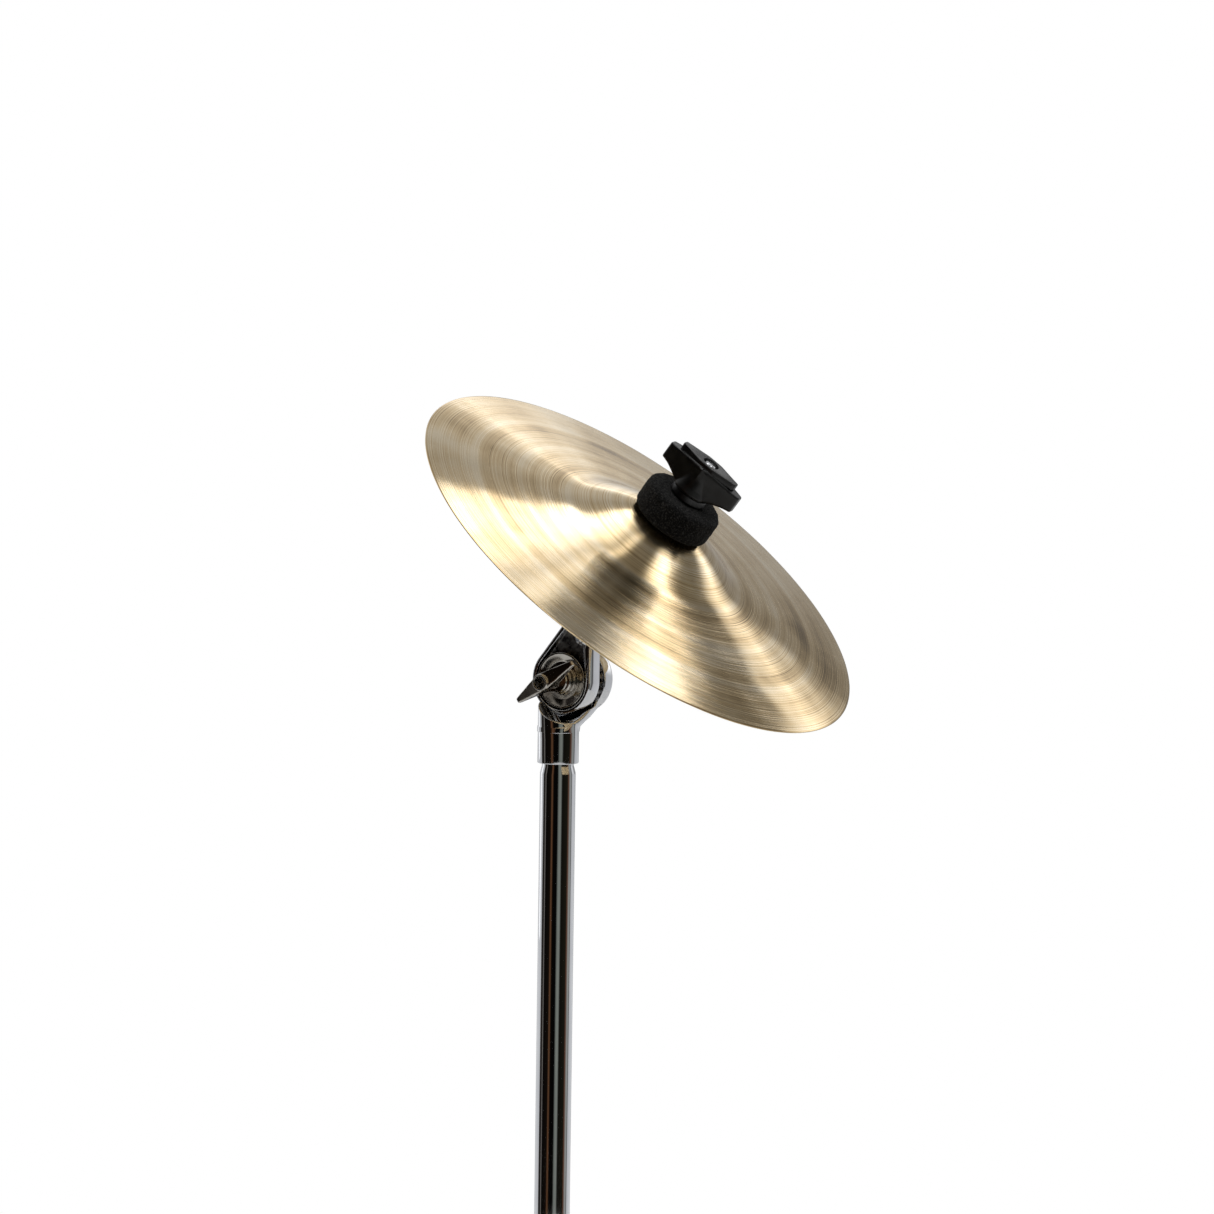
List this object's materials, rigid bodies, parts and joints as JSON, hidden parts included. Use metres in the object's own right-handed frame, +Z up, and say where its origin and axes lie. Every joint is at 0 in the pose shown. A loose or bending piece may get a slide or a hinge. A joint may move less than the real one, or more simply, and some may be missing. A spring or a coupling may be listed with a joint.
{
  "type": "cymbal boom stand",
  "caption": "Folding tripod stand with a height tube, a tilting boom arm and a ratchet tilter that carries a small bronze cymbal between felts under a wing nut.",
  "frame": {"origin": "on the floor, in the middle of the box round the three feet", "axes": "+Z up; +X is the way the cymbal leans and one leg points; the hinge axes of both tilters lie along Y, with the cymbal tilter's wing nut towards -Y"},
  "size_m": [0.4519, 0.518, 1.2869],
  "materials": {
    "chrome_plate": "bright chrome plating on steel tube and zinc castings",
    "nickel_casting": "dark nickel plated zinc casting, satin",
    "fastener_steel": "zinc plated steel",
    "cymbal_bronze": "lathed bronze with fine concentric grooves",
    "black_felt": "pressed wool felt, black",
    "black_plastic": "black moulded plastic, satin",
    "nylon": "black nylon",
    "black_rubber": "black rubber"
  },
  "bodies": {
    "base": {"base_tube": "chrome_plate", "base_tube_plug": "black_plastic", "bottom_collar": "chrome_plate", "brace_pins": "fastener_steel", "height_clamp": "chrome_plate"},
    "leg_collar": {"leg_collar": "chrome_plate", "leg_pins": "fastener_steel"},
    "leg_collar_bolt": {"leg_collar_wing_bolt": "nickel_casting"},
    "height_bushing": {"height_bushing": "nylon"},
    "height_bolt": {"height_wing_bolt": "nickel_casting"},
    "middle": {"middle_tube": "chrome_plate", "memory_lock": "chrome_plate", "memory_lock_bolt": "fastener_steel", "boom_tilter_base": "chrome_plate"},
    "boom_clamp": {"boom_tilter_clamp": "chrome_plate", "boom_tilter_bolt": "fastener_steel", "boom_tilter_washer": "fastener_steel"},
    "boom_nut": {"boom_tilter_wing_nut": "nickel_casting"},
    "boom_bolt": {"boom_clamp_wing_bolt": "nickel_casting"},
    "boom_bushing": {"boom_bushing": "nylon"},
    "boom_arm": {"boom_tube": "chrome_plate", "boom_end_cap": "black_plastic", "cymbal_tilter_base": "chrome_plate", "cymbal_tilter_bolt": "fastener_steel"},
    "tilter_arm": {"cymbal_tilter_arm": "chrome_plate", "cymbal_tilter_washer": "nickel_casting", "cymbal_rod": "fastener_steel", "cup_washer": "nickel_casting", "rod_sleeve": "nylon", "lower_felt": "black_felt", "upper_felt": "black_felt"},
    "tilter_nut": {"cymbal_tilter_wing_nut": "nickel_casting"},
    "cymbal": {"cymbal": "cymbal_bronze"},
    "cymbal_nut": {"cymbal_wing_nut": "black_plastic"},
    "leg_1": {"leg_1": "chrome_plate", "leg_rivets_1": "fastener_steel", "foot_1": "black_rubber"},
    "brace_1": {"brace_1": "chrome_plate"},
    "leg_2": {"leg_2": "chrome_plate", "leg_rivets_2": "fastener_steel", "foot_2": "black_rubber"},
    "brace_2": {"brace_2": "chrome_plate"},
    "leg_3": {"leg_3": "chrome_plate", "leg_rivets_3": "fastener_steel", "foot_3": "black_rubber"},
    "brace_3": {"brace_3": "chrome_plate"}
  },
  "joints": [
    {"name": "leg_collar_slide", "type": "slide", "parent": "base", "child": "leg_collar", "axis": [0, 0, 1], "range_m": [0, 0.15]},
    {"name": "leg_1_hinge", "type": "hinge", "parent": "leg_collar", "child": "leg_1", "pos_m": [-0.05025, 0, 0.3], "axis": [0, 1, 0], "range_deg": [0, 36.59]},
    {"name": "brace_1_hinge", "type": "hinge", "parent": "base", "child": "brace_1", "pos_m": [-0.05125, 0, 0.075], "axis": [0, -1, 0], "range_deg": [0, 59.22]},
    {"name": "leg_2_hinge", "type": "hinge", "parent": "leg_collar", "child": "leg_2", "pos_m": [-0.08625, 0.02079, 0.3], "axis": [-0.866, -0.5, 0], "range_deg": [0, 36.59]},
    {"name": "brace_2_hinge", "type": "hinge", "parent": "base", "child": "brace_2", "pos_m": [-0.08575, 0.01992, 0.075], "axis": [0.866, 0.5, 0], "range_deg": [0, 59.22]},
    {"name": "leg_3_hinge", "type": "hinge", "parent": "leg_collar", "child": "leg_3", "pos_m": [-0.08625, -0.02079, 0.3], "axis": [0.866, -0.5, 0], "range_deg": [0, 36.59]},
    {"name": "brace_3_hinge", "type": "hinge", "parent": "base", "child": "brace_3", "pos_m": [-0.08575, -0.01992, 0.075], "axis": [-0.866, 0.5, 0], "range_deg": [0, 59.22]},
    {"name": "leg_collar_bolt_turn", "type": "hinge", "parent": "leg_collar", "child": "leg_collar_bolt", "pos_m": [-0.09825, 0, 0.312], "axis": [-1, 0, 0], "range_deg": [0, 450]},
    {"name": "height_swivel", "type": "hinge", "parent": "base", "child": "height_bushing", "pos_m": [-0.07425, 0, 0.556], "axis": [0, 0, 1], "continuous": true},
    {"name": "height_slide", "type": "slide", "parent": "height_bushing", "child": "middle", "axis": [0, 0, 1], "range_m": [0, 0.15]},
    {"name": "height_bolt_turn", "type": "hinge", "parent": "base", "child": "height_bolt", "pos_m": [-0.07425, 0.0265, 0.565], "axis": [0, 1, 0], "range_deg": [0, 450]},
    {"name": "boom_tilt", "type": "hinge", "parent": "middle", "child": "boom_clamp", "pos_m": [-0.07425, 0, 0.79], "axis": [0, 1, 0], "range_deg": [-100, 100]},
    {"name": "boom_nut_turn", "type": "hinge", "parent": "boom_clamp", "child": "boom_nut", "pos_m": [-0.07425, 0.00375, 0.79], "axis": [0, 1, 0], "range_deg": [0, 450]},
    {"name": "boom_bolt_turn", "type": "hinge", "parent": "boom_clamp", "child": "boom_bolt", "pos_m": [-0.07425, -0.052, 0.79], "axis": [0, -1, 0], "range_deg": [0, 450]},
    {"name": "boom_turn", "type": "hinge", "parent": "boom_clamp", "child": "boom_bushing", "pos_m": [-0.07425, -0.03, 0.79], "axis": [0, 0, 1], "continuous": true},
    {"name": "boom_slide", "type": "slide", "parent": "boom_bushing", "child": "boom_arm", "axis": [0, 0, 1], "range_m": [-0.12, 0.09]},
    {"name": "cymbal_tilt", "type": "hinge", "parent": "boom_arm", "child": "tilter_arm", "pos_m": [-0.07425, -0.03, 1.1426], "axis": [0, 1, 0], "range_deg": [-108, 60]},
    {"name": "tilter_nut_turn", "type": "hinge", "parent": "boom_arm", "child": "tilter_nut", "pos_m": [-0.07425, -0.0258, 1.1426], "axis": [0, -1, 0], "range_deg": [0, 450]},
    {"name": "cymbal_spin", "type": "hinge", "parent": "tilter_arm", "child": "cymbal", "pos_m": [-0.02941, -0.0238, 1.20632], "axis": [0.6347, 0, 0.7727], "continuous": true},
    {"name": "cymbal_nut_turn", "type": "hinge", "parent": "tilter_arm", "child": "cymbal_nut", "pos_m": [-0.00396, -0.0238, 1.23731], "axis": [0.6347, 0, 0.7727], "range_deg": [0, 450]}
  ],
  "couplings": [
    {"joint": "leg_1_hinge", "follows": "leg_collar_slide", "rad_per_m": 4.252},
    {"joint": "brace_1_hinge", "follows": "leg_collar_slide", "rad_per_m": 6.8846},
    {"joint": "leg_2_hinge", "follows": "leg_collar_slide", "rad_per_m": 4.252},
    {"joint": "brace_2_hinge", "follows": "leg_collar_slide", "rad_per_m": 6.8846},
    {"joint": "leg_3_hinge", "follows": "leg_collar_slide", "rad_per_m": 4.252},
    {"joint": "brace_3_hinge", "follows": "leg_collar_slide", "rad_per_m": 6.8846}
  ]
}
